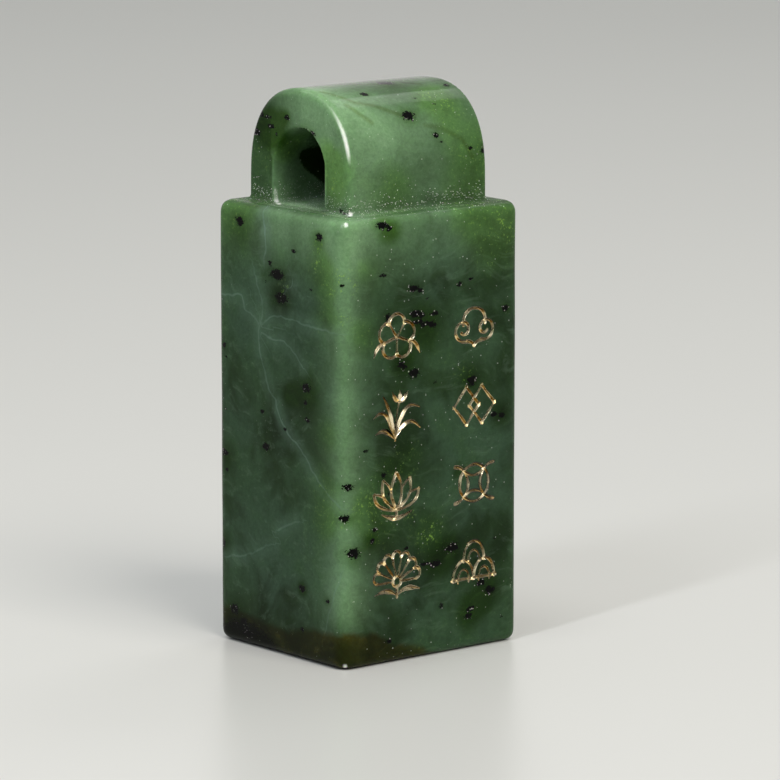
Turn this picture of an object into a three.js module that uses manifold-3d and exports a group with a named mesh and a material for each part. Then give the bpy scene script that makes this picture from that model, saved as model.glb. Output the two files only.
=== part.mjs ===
// Seal stamp carved from one block of spinach-green nephrite jade, in millimetres.
// An upright block stands on its relief-cut seal face and carries an arched, pierced knob.
// The front face has two columns of engraved ornaments filled with gilt.
// +Z is up, the origin is the middle of the seal face, the front is -Y and the cord tunnel runs along X.
import * as THREE from "three";
import { mergeVertices } from "three/addons/utils/BufferGeometryUtils.js";
import Module from "manifold-3d";

const wasm = await Module();
wasm.setup();

// Block
const BLOCK_WIDTH = 30;
const BLOCK_DEPTH = 26.5;
const BLOCK_HEIGHT = 58.7;
const CORNER_RADIUS = 1.7;
const SHOULDER_RADIUS = 1.5;
const FOOT_RADIUS = 1.25;
const EDGE_FACETS = 5;
const LEAST_RADIUS = 0.05;

// Knob, set in from the block by a ledge all round, with its legs rooted in the block
const END_LEDGE = 3.4;
const SIDE_LEDGE = 2.65;
const KNOB_HEIGHT = 15.3;
const KNOB_STRAIGHT = 3.25;
const KNOB_FULLNESS = 2.37;
const KNOB_EDGE_RADIUS = 0.85;
const KNOB_FACETS = 30;
const KNOB_ROOT = 2;

// Cord tunnel through the knob, its floor level with the ledge
const TUNNEL_SIDE_WALL = 5.6;
const TUNNEL_ROOF = 5.3;
const TUNNEL_STRAIGHT = 5;
const TUNNEL_FACETS = 14;

// Seal face: a plain border and four squared spirals stand proud of a sunk field
const RELIEF_DEPTH = 1.2;
const BORDER_WIDTH = 1.5;
const FRET_LAND = 1.1;
const FRET_GAP = 1.1;

// Grid of ornaments on the front face, measured in from the edges of the block
const TOP_MARGIN = 12.75;
const FOOT_MARGIN = 8.6;
const LEFT_MARGIN = 5.1;
const RIGHT_MARGIN = 4.05;
const ROW_GAP = 4.05;
const COLUMN_GAP = 5.35;

// Engraved strokes, and the gilt that lies on their floors
const STROKE_WIDTH = 0.46;
const GROOVE_DEPTH = 0.5;
const GILT_THICKNESS = 0.25;
const GILT_CLEARANCE = 0.04;

// Cutters run past the faces that they open
const OVERSHOOT = 1;

const knobLength = BLOCK_WIDTH - 2 * END_LEDGE;
const knobWidth = BLOCK_DEPTH - 2 * SIDE_LEDGE;
const tunnelWidth = knobWidth - 2 * TUNNEL_SIDE_WALL;
const tunnelHeight = KNOB_HEIGHT - TUNNEL_ROOF;
const frontFace = -BLOCK_DEPTH / 2;

// A closed geometry becomes a solid that can be joined and cut
function solidFrom(geometry) {
  geometry.deleteAttribute("normal");
  geometry.deleteAttribute("uv");
  const merged = mergeVertices(geometry);
  return new wasm.Manifold(new wasm.Mesh({
    numProp: 3,
    vertProperties: new Float32Array(merged.attributes.position.array),
    triVerts: new Uint32Array(merged.index.array),
  }));
}

function geometryFrom(solid) {
  const mesh = solid.getMesh();
  const geometry = new THREE.BufferGeometry();
  geometry.setAttribute("position", new THREE.BufferAttribute(mesh.vertProperties, 3));
  geometry.setIndex(new THREE.BufferAttribute(mesh.triVerts, 1));
  geometry.computeVertexNormals();
  return geometry;
}

function joined(solids) {
  return solids.reduce((whole, solid) => whole.add(solid));
}

function prism(shape, depth, curveSegments = 1) {
  return new THREE.ExtrudeGeometry(shape, { depth, bevelEnabled: false, curveSegments });
}

// Rounded rectangle as one ring of points, the same number whatever its size
function roundedRing(width, depth, radius, z) {
  const ring = [];
  const r = Math.max(radius, LEAST_RADIUS);
  const corners = [[1, 1], [-1, 1], [-1, -1], [1, -1]];
  corners.forEach(([sx, sy], corner) => {
    for (let i = 0; i <= EDGE_FACETS; i++) {
      const angle = (corner + i / EDGE_FACETS) * Math.PI / 2;
      const x = sx * (width / 2 - r) + r * Math.cos(angle);
      const y = sy * (depth / 2 - r) + r * Math.sin(angle);
      ring.push(new THREE.Vector3(x, y, z));
    }
  });
  return ring;
}

// Closed skin through a stack of rings, from the lowest to the highest
function loft(rings) {
  const count = rings[0].length;
  const points = rings.flat();
  const index = [];
  for (let level = 0; level < rings.length - 1; level++) {
    for (let i = 0; i < count; i++) {
      const a = level * count + i;
      const b = level * count + (i + 1) % count;
      index.push(a, b, b + count, a, b + count, a + count);
    }
  }
  const top = points.length - count;
  for (let i = 1; i < count - 1; i++) {
    index.push(0, i + 1, i, top, top + i, top + i + 1);
  }
  const geometry = new THREE.BufferGeometry().setFromPoints(points);
  geometry.setIndex(index);
  return geometry;
}

// Upright block with its own radius at the corners, the shoulder and the foot
function block() {
  const rings = [];
  const addRing = (inset, z) => {
    rings.push(roundedRing(BLOCK_WIDTH - 2 * inset, BLOCK_DEPTH - 2 * inset, CORNER_RADIUS - inset, z));
  };
  for (let i = 0; i <= EDGE_FACETS; i++) {
    const angle = i / EDGE_FACETS * Math.PI / 2;
    addRing(FOOT_RADIUS * (1 - Math.sin(angle)), FOOT_RADIUS * (1 - Math.cos(angle)));
  }
  for (let i = 0; i <= EDGE_FACETS; i++) {
    const angle = i / EDGE_FACETS * Math.PI / 2;
    addRing(SHOULDER_RADIUS * (1 - Math.cos(angle)), BLOCK_HEIGHT - SHOULDER_RADIUS * (1 - Math.sin(angle)));
  }
  return solidFrom(loft(rings));
}

// A shape drawn across the block, with Y to the right and Z up, becomes a solid along X
function alongX(geometry, length) {
  geometry.translate(0, 0, -length / 2);
  geometry.rotateX(Math.PI / 2);
  geometry.rotateZ(Math.PI / 2);
  return solidFrom(geometry);
}

// Roof-tile knob: short upright sides under a full, flattened arch
function knob() {
  const halfWidth = knobWidth / 2;
  const rise = KNOB_HEIGHT - KNOB_STRAIGHT;
  const power = 2 / KNOB_FULLNESS;
  const arch = new THREE.Shape();
  arch.moveTo(-halfWidth, BLOCK_HEIGHT - KNOB_ROOT);
  arch.lineTo(halfWidth, BLOCK_HEIGHT - KNOB_ROOT);
  for (let i = 0; i <= KNOB_FACETS; i++) {
    const angle = i / KNOB_FACETS * Math.PI;
    const side = Math.sign(Math.cos(angle)) * Math.abs(Math.cos(angle)) ** power;
    const lift = Math.abs(Math.sin(angle)) ** power;
    arch.lineTo(halfWidth * side, BLOCK_HEIGHT + KNOB_STRAIGHT + rise * lift);
  }
  const straightLength = knobLength - 2 * KNOB_EDGE_RADIUS;
  const geometry = new THREE.ExtrudeGeometry(arch, {
    depth: straightLength,
    curveSegments: 1,
    bevelThickness: KNOB_EDGE_RADIUS,
    bevelSize: KNOB_EDGE_RADIUS,
    bevelOffset: -KNOB_EDGE_RADIUS,
    bevelSegments: 3,
  });
  return alongX(geometry, straightLength);
}

function tunnel() {
  const arch = new THREE.Shape();
  const low = BLOCK_HEIGHT - KNOB_ROOT - OVERSHOOT;
  const spring = BLOCK_HEIGHT + TUNNEL_STRAIGHT;
  arch.moveTo(-tunnelWidth / 2, low);
  arch.lineTo(tunnelWidth / 2, low);
  arch.lineTo(tunnelWidth / 2, spring);
  arch.absellipse(0, spring, tunnelWidth / 2, tunnelHeight - TUNNEL_STRAIGHT, 0, Math.PI, false, 0);
  const length = knobLength + 2 * OVERSHOOT;
  return alongX(prism(arch, length, TUNNEL_FACETS), length);
}

function rectangle(x1, y1, x2, y2) {
  const corners = [[x1, y1], [x2, y1], [x2, y2], [x1, y2]];
  return new THREE.Shape(corners.map(([x, y]) => new THREE.Vector2(x, y)));
}

// A prism that reaches from below the foot up to a height inside it
function fromBelow(shape, height) {
  return solidFrom(prism(shape, height + OVERSHOOT).translate(0, 0, -OVERSHOOT));
}

// A squared spiral in one quarter of the field, as distances in from the field's outer corner
function fretPath(width, height) {
  const pitch = FRET_LAND + FRET_GAP;
  let left = FRET_GAP + FRET_LAND / 2;
  let low = left;
  let right = width - pitch / 2;
  let high = height - pitch / 2;
  const path = [[left, low]];
  while (right - left > pitch && high - low > pitch) {
    path.push([right, low], [right, high], [left, high], [left, low + pitch]);
    left += pitch;
    low += pitch;
    right -= pitch;
    high -= pitch;
    path.push([left, low]);
  }
  return path;
}

// All that is sunk below the printing surface
function sealField() {
  const halfX = BLOCK_WIDTH / 2 - FOOT_RADIUS - BORDER_WIDTH;
  const halfY = BLOCK_DEPTH / 2 - FOOT_RADIUS - BORDER_WIDTH;
  const half = FRET_LAND / 2;
  const path = fretPath(halfX, halfY);
  let field = fromBelow(rectangle(-halfX, -halfY, halfX, halfY), RELIEF_DEPTH);
  for (const [sx, sy] of [[1, 1], [-1, 1], [-1, -1], [1, -1]]) {
    for (let i = 0; i < path.length - 1; i++) {
      const xs = [path[i][0], path[i + 1][0]].map((x) => sx * (halfX - x));
      const ys = [path[i][1], path[i + 1][1]].map((y) => sy * (halfY - y));
      const bar = rectangle(
        Math.min(...xs) - half,
        Math.min(...ys) - half,
        Math.max(...xs) + half,
        Math.max(...ys) + half,
      );
      field = field.subtract(fromBelow(bar, RELIEF_DEPTH + OVERSHOOT));
    }
  }
  return field;
}

// How the width of a stroke runs from its start to its end
const even = () => 1;
const thin = () => 0.75;
const blade = (t) => 0.4 + 0.95 * Math.sin(Math.PI * t);

// Strokes are drawn on a cell that runs from -1 to 1 in height and -1.23 to 1.23 in width
const CELL_ASPECT = 1.23;

function line(start, end, profile = even) {
  return { points: [start, end].map(([x, y]) => new THREE.Vector2(x, y)), profile };
}

function bow(start, control, end, profile, steps = 5) {
  const [a, b, c] = [start, control, end].map(([x, y]) => new THREE.Vector2(x, y));
  return { points: new THREE.QuadraticBezierCurve(a, b, c).getPoints(steps), profile };
}

// Angles in degrees, anticlockwise; a spiral ends at another radius than it starts with
function arc([x, y], radii, from, to, steps, profile = even, endScale = 1) {
  const points = [];
  for (let i = 0; i <= steps; i++) {
    const t = i / steps;
    const angle = THREE.MathUtils.degToRad(from + (to - from) * t);
    const scale = 1 + (endScale - 1) * t;
    const across = radii[0] * scale * Math.cos(angle);
    const up = radii[1] * scale * Math.sin(angle);
    points.push(new THREE.Vector2(x + across, y + up));
  }
  return { points, profile };
}

function polar(radius, degrees) {
  const angle = THREE.MathUtils.degToRad(degrees);
  return [radius * Math.cos(angle), radius * Math.sin(angle)];
}

function plumBlossom() {
  const strokes = [];
  for (let petal = 0; petal < 5; petal++) {
    const direction = 90 + 72 * petal;
    strokes.push(arc(polar(0.53, direction), [0.42, 0.42], direction - 88, direction + 88, 7));
    strokes.push(line([0, 0], polar(0.72, direction + 36), thin));
  }
  for (const side of [-1, 1]) {
    strokes.push(bow([side * 0.64, -0.2], [side * 1.0, -0.22], [side * 1.2, -0.7], blade));
  }
  return strokes;
}

function orchid() {
  const root = [-0.1, -0.95];
  return [
    bow(root, [-0.55, 0.65], [-1.2, 0.05], blade, 7),
    bow(root, [-0.35, 0.4], [-0.72, 0.85], blade),
    bow(root, [0.3, 0.75], [1.15, 0.3], blade, 7),
    bow(root, [0.5, 0.15], [1.2, -0.55], blade, 7),
    bow(root, [-0.6, -0.35], [-1.1, -0.62], blade),
    bow(root, [-0.05, 0.1], [0.12, 0.6], thin, 4),
    bow([0.12, 0.58], [-0.1, 0.7], [-0.22, 0.98], blade, 4),
    bow([0.12, 0.58], [0.2, 0.75], [0.16, 1.02], blade, 4),
    bow([0.12, 0.58], [0.4, 0.68], [0.56, 0.95], blade, 4),
  ];
}

function lotus() {
  const strokes = [
    line([0, -0.56], [0, -0.92], even),
    bow([-0.75, -0.72], [0, -1.15], [0.75, -0.72], blade),
  ];
  for (const side of [-1, 1]) {
    strokes.push(bow([0, -0.57], [side * 0.56, 0.2], [0, 0.95], even, 6));
    strokes.push(bow([0, -0.57], [side * 0.96, -0.12], [side * 0.7, 0.68], even, 6));
    strokes.push(bow([side * 0.7, 0.68], [side * 0.4, 0.52], [side * 0.26, 0.2], thin, 4));
    strokes.push(bow([0, -0.57], [side * 1.1, -0.58], [side * 1.18, 0.16], even, 6));
    strokes.push(bow([side * 1.18, 0.16], [side * 0.86, 0.16], [side * 0.64, -0.02], thin, 4));
  }
  return strokes;
}

function chrysanthemum() {
  const petals = 7;
  const spread = 180 / petals;
  const heart = [0, -0.36];
  const outFrom = (radius, degrees) => polar(radius, degrees).map((value, i) => heart[i] + value);
  const strokes = [
    arc(heart, [0.22, 0.22], -10, 190, 6),
    arc(heart, [0.22, 0.22], 170, 370, 6),
    line([0, -0.56], [0, -1], even),
  ];
  for (let edge = 0; edge <= petals; edge++) {
    strokes.push(line(outFrom(0.24, edge * spread), outFrom(1.06, edge * spread), thin));
  }
  for (let petal = 0; petal < petals; petal++) {
    const direction = (petal + 0.5) * spread;
    strokes.push(arc(outFrom(1.03, direction), [0.23, 0.23], direction - 92, direction + 92, 5));
  }
  for (const side of [-1, 1]) {
    strokes.push(bow([0, -0.95], [side * 0.45, -0.55], [side * 1.15, -0.8], blade));
  }
  return strokes;
}

function ruyiCloud() {
  const strokes = [arc([0, 0.2], [0.6, 0.56], -10, 190, 9)];
  for (const side of [-1, 1]) {
    const middle = [side * 0.58, -0.12];
    const start = side > 0 ? -115 : -65;
    strokes.push(arc(middle, [0.52, 0.5], start, start + side * 430, 16, even, 0.3));
    strokes.push(bow([0, -0.8], [side * 0.1, -0.62], [side * 0.42, -0.6], even, 3));
  }
  return strokes;
}

function doubleLozenge() {
  const strokes = [];
  for (const middle of [-0.42, 0.42]) {
    const corners = [[middle + 0.68, 0], [middle, 0.78], [middle - 0.68, 0], [middle, -0.78]];
    corners.forEach((corner, i) => {
      const next = corners[(i + 1) % corners.length];
      const along = new THREE.Vector2(next[0] - corner[0], next[1] - corner[1]).setLength(0.05);
      strokes.push(line(
        [corner[0] - along.x, corner[1] - along.y],
        [next[0] + along.x, next[1] + along.y],
      ));
    });
  }
  return strokes;
}

function coinBrocade() {
  const radius = 0.78;
  const reach = radius * Math.SQRT2;
  const strokes = [
    arc([0, 0], [radius, radius], -5, 185, 10),
    arc([0, 0], [radius, radius], 175, 365, 10),
  ];
  for (let quarter = 0; quarter < 4; quarter++) {
    const inward = 90 * quarter + 180;
    const sweep = quarter % 2 === 0 ? 85 : 45;
    strokes.push(arc(polar(reach, 90 * quarter), [radius, radius], inward - sweep, inward + sweep, 8));
  }
  return strokes;
}

function waves() {
  const strokes = [line([-1.18, -0.78], [1.18, -0.78], even)];
  for (const [x, y] of [[-0.56, -0.78], [0.56, -0.78], [0, 0]]) {
    strokes.push(arc([x, y], [0.56, 0.78], -2, 182, 10));
    strokes.push(arc([x, y], [0.3, 0.4], -14, 194, 7, thin));
  }
  return strokes;
}

const leftColumn = { plum_blossom: plumBlossom, orchid, lotus, chrysanthemum };
const rightColumn = {
  ruyi_cloud: ruyiCloud,
  double_lozenge: doubleLozenge,
  coin_brocade: coinBrocade,
  waves,
};

// Outline of a stroke in mm, with square ends, made wider and longer by the growth
function strokeShape({ points, profile }, unit, growth) {
  const left = [];
  const right = [];
  const last = points.length - 1;
  points.forEach((point, i) => {
    const along = points[Math.min(i + 1, last)].clone().sub(points[Math.max(i - 1, 0)]).normalize();
    const half = STROKE_WIDTH * profile(i / last) / 2 + growth;
    const push = (i === last ? growth : 0) - (i === 0 ? growth : 0);
    const middle = point.clone().multiplyScalar(unit).addScaledVector(along, push);
    const across = new THREE.Vector2(-along.y, along.x).multiplyScalar(half);
    left.push(middle.clone().add(across));
    right.push(middle.clone().sub(across));
  });
  return new THREE.Shape([...right, ...left.reverse()]);
}

// The ornament's strokes as one solid, standing on the plane of the drawing
function ornament(strokes, unit, growth, height) {
  return joined(strokes.map((stroke) => solidFrom(prism(strokeShape(stroke, unit, growth), height))));
}

const leftColumnNames = Object.keys(leftColumn);
const rows = leftColumnNames.length;
const cellWidth = (BLOCK_WIDTH - LEFT_MARGIN - RIGHT_MARGIN - COLUMN_GAP) / 2;
const cellHeight = (BLOCK_HEIGHT - TOP_MARGIN - FOOT_MARGIN - (rows - 1) * ROW_GAP) / rows;
const unit = Math.min(cellWidth / CELL_ASPECT, cellHeight) / 2;

const jade = new THREE.MeshStandardMaterial({ name: "jade", color: "#3f5c3c", roughness: 0.22 });
const gilt = new THREE.MeshStandardMaterial({ name: "gilt", color: "#d3a555", roughness: 0.35 });
gilt.metalness = 1;

const seal = new THREE.Group();
const giltWork = new THREE.Group();
giltWork.position.y = frontFace + GROOVE_DEPTH;
giltWork.rotation.x = Math.PI / 2;
seal.add(giltWork);

let stone = block().add(knob().subtract(tunnel())).subtract(sealField());
[leftColumn, rightColumn].forEach((column, columnNumber) => {
  const x = -BLOCK_WIDTH / 2 + LEFT_MARGIN + cellWidth / 2 + columnNumber * (cellWidth + COLUMN_GAP);
  Object.entries(column).forEach(([name, draw], row) => {
    const z = BLOCK_HEIGHT - TOP_MARGIN - cellHeight / 2 - row * (cellHeight + ROW_GAP);
    const strokes = draw();
    const groove = geometryFrom(ornament(strokes, unit, GILT_CLEARANCE, GROOVE_DEPTH + OVERSHOOT));
    groove.rotateX(Math.PI / 2).translate(x, frontFace + GROOVE_DEPTH, z);
    stone = stone.subtract(solidFrom(groove));

    const filling = new THREE.Mesh(geometryFrom(ornament(strokes, unit, 0, GILT_THICKNESS)), gilt.clone());
    filling.name = `gilt_${name}`;
    filling.position.set(x, z, 0);
    giltWork.add(filling);
  });
});

const sealStone = new THREE.Mesh(geometryFrom(stone), jade);
sealStone.name = "seal_stone";
seal.add(sealStone);

export default seal;
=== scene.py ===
import math

import bpy
import numpy as np
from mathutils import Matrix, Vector


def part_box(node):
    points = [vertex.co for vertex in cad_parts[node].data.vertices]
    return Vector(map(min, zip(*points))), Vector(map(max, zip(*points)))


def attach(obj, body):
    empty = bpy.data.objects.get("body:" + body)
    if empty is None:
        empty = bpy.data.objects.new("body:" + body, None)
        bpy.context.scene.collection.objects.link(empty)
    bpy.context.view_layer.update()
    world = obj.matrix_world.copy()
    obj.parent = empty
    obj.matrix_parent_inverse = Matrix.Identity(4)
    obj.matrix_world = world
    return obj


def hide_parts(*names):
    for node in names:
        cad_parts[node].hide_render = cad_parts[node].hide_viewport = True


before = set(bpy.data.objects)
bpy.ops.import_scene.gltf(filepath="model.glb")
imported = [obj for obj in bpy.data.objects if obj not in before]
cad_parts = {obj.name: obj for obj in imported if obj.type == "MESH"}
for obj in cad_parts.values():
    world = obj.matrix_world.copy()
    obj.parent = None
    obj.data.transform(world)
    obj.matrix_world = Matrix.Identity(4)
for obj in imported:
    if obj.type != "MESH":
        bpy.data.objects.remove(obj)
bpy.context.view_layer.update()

# The stone and its gilding are made in millimetres on the frame's own axes, and scaled to metres when done
perMetre = 1000.0
stoneLow, stoneHigh = [np.array(corner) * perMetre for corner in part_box("seal_stone")]
frontY = stoneLow[1]


def newPiece(name, points, faces):
    mesh = bpy.data.meshes.new(name)
    mesh.from_pydata([tuple(p) for p in points], [], faces)
    mesh.update()
    piece = bpy.data.objects.new(name, mesh)
    bpy.context.collection.objects.link(piece)
    return piece


# Closed skin through a stack of rings that all have the same number of points
def skin(name, rings):
    count = len(rings[0])
    faces = [tuple(reversed(range(count)))]
    for level in range(len(rings) - 1):
        for i in range(count):
            a = level * count + i
            b = level * count + (i + 1) % count
            faces.append((a, b, b + count, a + count))
    faces.append(tuple(range((len(rings) - 1) * count, len(rings) * count)))
    return newPiece(name, np.concatenate(rings), faces)


# Replaces a piece's mesh by what its modifiers make of it
def settle(piece):
    graph = bpy.context.evaluated_depsgraph_get()
    made = bpy.data.meshes.new_from_object(piece.evaluated_get(graph))
    piece.modifiers.clear()
    old, piece.data = piece.data, made
    bpy.data.meshes.remove(old)


def combine(piece, other, operation):
    step = piece.modifiers.new(operation, "BOOLEAN")
    step.object = other
    step.operation = operation
    step.solver = "MANIFOLD"
    settle(piece)
    bpy.data.objects.remove(other)


def readMesh(piece, what):
    flat = np.empty(len(piece.data.vertices) * 3, np.float32)
    piece.data.vertices.foreach_get(what, flat)
    return flat.reshape(-1, 3).astype(float)


def writePoints(piece, points):
    piece.data.vertices.foreach_set("co", points.astype(np.float32).ravel())
    piece.data.update()


# The block, the knob and the tunnel, in the sizes that the part's source gives them
body = {
    "blockHeight": 58.7,
    "cornerRadius": 1.7,
    "shoulderRadius": 1.5,
    "footRadius": 1.25,
    "endLedge": 3.4,
    "sideLedge": 2.65,
    "knobStraight": 3.25,
    "knobFullness": 2.37,      # 2 is an ellipse, higher is squarer
    "knobEdgeRadius": 0.85,
    "knobRoot": 2.0,           # how far its solid reaches down into the block's
    "tunnelSideWall": 5.6,
    "tunnelRoof": 5.3,
    "tunnelStraight": 5.0,
    "mouthFlare": 0.35,        # the cord has worn the tunnel's mouths open
    "flareReach": 1.5,
    "edgeSteps": 9,
    "archSteps": 48,
    "tunnelSteps": 29,
    "voxel": 0.36,
    "smoothing": 4,
}
halfWidth, halfDepth, topZ = stoneHigh
shoulderZ = body["blockHeight"]
knobEnd = halfWidth - body["endLedge"]
knobSide = halfDepth - body["sideLedge"]
tunnelSide = knobSide - body["tunnelSideWall"]
tunnelTop = topZ - body["tunnelRoof"]
quarters = [(1, 1), (-1, 1), (-1, -1), (1, -1)]


def roundedRing(halfX, halfY, radius, z):
    radius = max(radius, 0.05)
    steps = body["edgeSteps"]
    ring = []
    for corner, (sx, sy) in enumerate(quarters):
        for i in range(steps + 1):
            angle = (corner + i / steps) * math.pi / 2
            x = sx * (halfX - radius) + radius * math.cos(angle)
            y = sy * (halfY - radius) + radius * math.sin(angle)
            ring.append((x, y, z))
    return np.array(ring)


def blockRings():
    rings = []
    turns = np.linspace(0, math.pi / 2, body["edgeSteps"])
    foot, shoulder = body["footRadius"], body["shoulderRadius"]
    profile = [(foot * (1 - math.sin(a)), foot * (1 - math.cos(a))) for a in turns]
    profile += [(shoulder * (1 - math.cos(a)), shoulderZ - shoulder * (1 - math.sin(a))) for a in turns]
    for inset, z in profile:
        rings.append(roundedRing(halfWidth - inset, halfDepth - inset, body["cornerRadius"] - inset, z))
    return rings


# Full flattened arch on short upright sides, as a ring at one place along X
def archRing(x, halfY, spring, crown, fullness, low, steps):
    power = 2 / fullness
    ring = [(x, halfY, low)]
    for angle in np.linspace(0, math.pi, steps):
        c, s = math.cos(angle), math.sin(angle)
        side = math.copysign(abs(c) ** power, c)
        ring.append((x, halfY * side, spring + (crown - spring) * abs(s) ** power))
    ring.append((x, -halfY, low))
    return np.array(ring)


def knobArch(x, inset, low):
    spring = shoulderZ + body["knobStraight"]
    return archRing(x, knobSide - inset, spring, topZ - inset, body["knobFullness"], low, body["archSteps"])


def tunnelArch(x, flare, low):
    spring = shoulderZ + body["tunnelStraight"]
    return archRing(x, tunnelSide + flare, spring, tunnelTop + flare, 2, low, body["tunnelSteps"])


def knobRings():
    radius = body["knobEdgeRadius"]
    low = shoulderZ - body["knobRoot"]
    places = [(radius * math.cos(a), radius * (1 - math.sin(a))) for a in np.linspace(0, math.pi / 2, 7)]
    ends = [(knobEnd - radius + out, inset) for out, inset in reversed(places)]
    rings = [knobArch(-x, inset, low) for x, inset in reversed(ends)]
    return rings + [knobArch(x, inset, low) for x, inset in ends]


def tunnelRings():
    reach = body["flareReach"]
    low = shoulderZ - body["knobRoot"] - 1
    ends = [knobEnd - reach, knobEnd - 0.5, knobEnd, knobEnd + 1]
    rings = []
    for x in [-end for end in reversed(ends)] + ends:
        flare = body["mouthFlare"] * max(0.0, 1 - (knobEnd - abs(x)) / reach) ** 2
        rings.append(tunnelArch(x, flare, low))
    return rings


stone = skin("carved_stone", knobRings())
combine(stone, skin("tunnel", tunnelRings()), "DIFFERENCE")
combine(stone, skin("block", blockRings()), "UNION")
remesh = stone.modifiers.new("even mesh", "REMESH")
remesh.mode = "VOXEL"
remesh.voxel_size = body["voxel"]
ease = stone.modifiers.new("eased edges", "SMOOTH")
ease.factor = 0.5
ease.iterations = body["smoothing"]
settle(stone)
print("stone roughed out:", len(stone.data.polygons), "faces")


# The seal face has a border and four squared spirals in relief
relief = {
    "depth": 1.2,
    "border": 1.5,
    "land": 1.1,
    "gap": 1.1,
    "draft": 0.12,        # the cut walls lean out by this much at their foot
}
inset = body["footRadius"] + relief["border"]
fieldX, fieldY = halfWidth - inset, halfDepth - inset


def frustum(name, x1, y1, x2, y2, lowZ, highZ, spread):
    low = [(x1, y1, lowZ), (x2, y1, lowZ), (x2, y2, lowZ), (x1, y2, lowZ)]
    high = [(x1 - spread, y1 - spread, highZ), (x2 + spread, y1 - spread, highZ),
            (x2 + spread, y2 + spread, highZ), (x1 - spread, y2 + spread, highZ)]
    return skin(name, [np.array(low), np.array(high)])


# One quarter's spiral, as distances in from the field's outer corner
def spiralPath(width, height):
    pitch = relief["land"] + relief["gap"]
    left = low = relief["gap"] + relief["land"] / 2
    right, high = width - pitch / 2, height - pitch / 2
    path = [(left, low)]
    while right - left > pitch and high - low > pitch:
        path += [(right, low), (right, high), (left, high), (left, low + pitch)]
        left, low, right, high = left + pitch, low + pitch, right - pitch, high - pitch
        path.append((left, low))
    return path


def sunkField():
    half, draft, depth = relief["land"] / 2, relief["draft"], relief["depth"]
    wide = half + draft
    field = frustum("sunk field", -fieldX, -fieldY, fieldX, fieldY, -1, depth, -draft * (depth + 1) / depth)
    path = spiralPath(fieldX, fieldY)
    for sx, sy in quarters:
        for start, end in zip(path, path[1:]):
            xs = sorted(sx * (fieldX - p[0]) for p in (start, end))
            ys = sorted(sy * (fieldY - p[1]) for p in (start, end))
            outline = xs[0] - wide, ys[0] - wide, xs[1] + wide, ys[1] + wide
            combine(field, frustum("land", *outline, -2, depth + 1, draft), "DIFFERENCE")
    return field


combine(stone, sunkField(), "DIFFERENCE")
print("seal face cut")


# The engraved ornaments and their gilding
engraving = {
    "unit": 3.15,            # half the height of an ornament's cell
    "width": 0.54,
    "depth": 0.4,
    "widthVariation": 0.2,   # a hand-held graver never cuts quite evenly
    "wander": 0.02,
    "gildingBelowFace": 0.05,
    "gildingThickness": 0.05,
    "gildingBite": 0.015,    # it reaches this far into the stone, so no gap shows
    "ringSpacing": 0.22,
    "seed": 58,
}
# A stroke's width from its start, where t is 0, to its end
even = lambda t: 0.94 + 0.16 * abs(2 * t - 1) ** 4      # a little wider at both ends, where the graver bit
thin = lambda t: 0.72
steady = lambda t: 0.88
blade = lambda t: 0.42 + 0.95 * math.sin(math.pi * t)


# Strokes are drawn on a cell that runs from -1 to 1 in height and -1.23 to 1.23 in width
def line(start, end, profile=even):
    return [np.array(start) + (np.array(end) - np.array(start)) * t for t in np.linspace(0, 1, 12)], profile


def bow(start, control, end, profile):
    a, b, c = (np.array(p, float) for p in (start, control, end))
    return [(1 - t) ** 2 * a + 2 * t * (1 - t) * b + t * t * c for t in np.linspace(0, 1, 24)], profile


# The same bows on the left and on the right
def bowPairs(*bows):
    both = [(side, *drawn) for side in (-1, 1) for drawn in bows]
    return [bow(*[(side * x, y) for x, y in points], profile) for side, *points, profile in both]


def arc(middle, radii, start, end, profile=even, endScale=1.0):
    points = []
    for t in np.linspace(0, 1, max(12, int(abs(end - start) / 6))):
        angle = math.radians(start + (end - start) * t)
        scale = 1 + (endScale - 1) * t
        across = (radii[0] * scale * math.cos(angle), radii[1] * scale * math.sin(angle))
        points.append(np.array(middle) + across)
    return points, profile


def polar(radius, degrees, middle=(0, 0)):
    angle = math.radians(degrees)
    return (middle[0] + radius * math.cos(angle), middle[1] + radius * math.sin(angle))


def plumBlossom():
    strokes = []
    for petal in range(5):
        direction = 90 + 72 * petal
        strokes.append(arc(polar(0.53, direction), (0.42, 0.42), direction - 88, direction + 88))
        strokes.append(line((0, 0), polar(0.72, direction + 36), thin))
    return strokes + bowPairs(((0.64, -0.2), (1.0, -0.22), (1.2, -0.7), blade))


def orchid():
    root, heart = (-0.1, -0.95), (0.12, 0.58)
    leaves = [((-0.55, 0.65), (-1.2, 0.05)), ((-0.35, 0.4), (-0.72, 0.85)), ((0.3, 0.75), (1.15, 0.3)),
              ((0.5, 0.15), (1.2, -0.55)), ((-0.6, -0.35), (-1.1, -0.62))]
    petals = [((-0.1, 0.7), (-0.22, 0.98)), ((0.2, 0.75), (0.16, 1.02)), ((0.4, 0.68), (0.56, 0.95))]
    strokes = [bow(root, control, tip, blade) for control, tip in leaves]
    strokes.append(bow(root, (-0.05, 0.1), (0.12, 0.6), thin))
    return strokes + [bow(heart, control, tip, blade) for control, tip in petals]


def lotus():
    strokes = [line((0, -0.56), (0, -0.92)), bow((-0.75, -0.72), (0, -1.15), (0.75, -0.72), blade)]
    return strokes + bowPairs(
        ((0, -0.57), (0.56, 0.2), (0, 0.95), even),
        ((0, -0.57), (0.96, -0.12), (0.7, 0.68), even),
        ((0.7, 0.68), (0.4, 0.52), (0.26, 0.2), thin),
        ((0, -0.57), (1.1, -0.58), (1.18, 0.16), even),
        ((1.18, 0.16), (0.86, 0.16), (0.64, -0.02), thin),
    )


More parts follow.
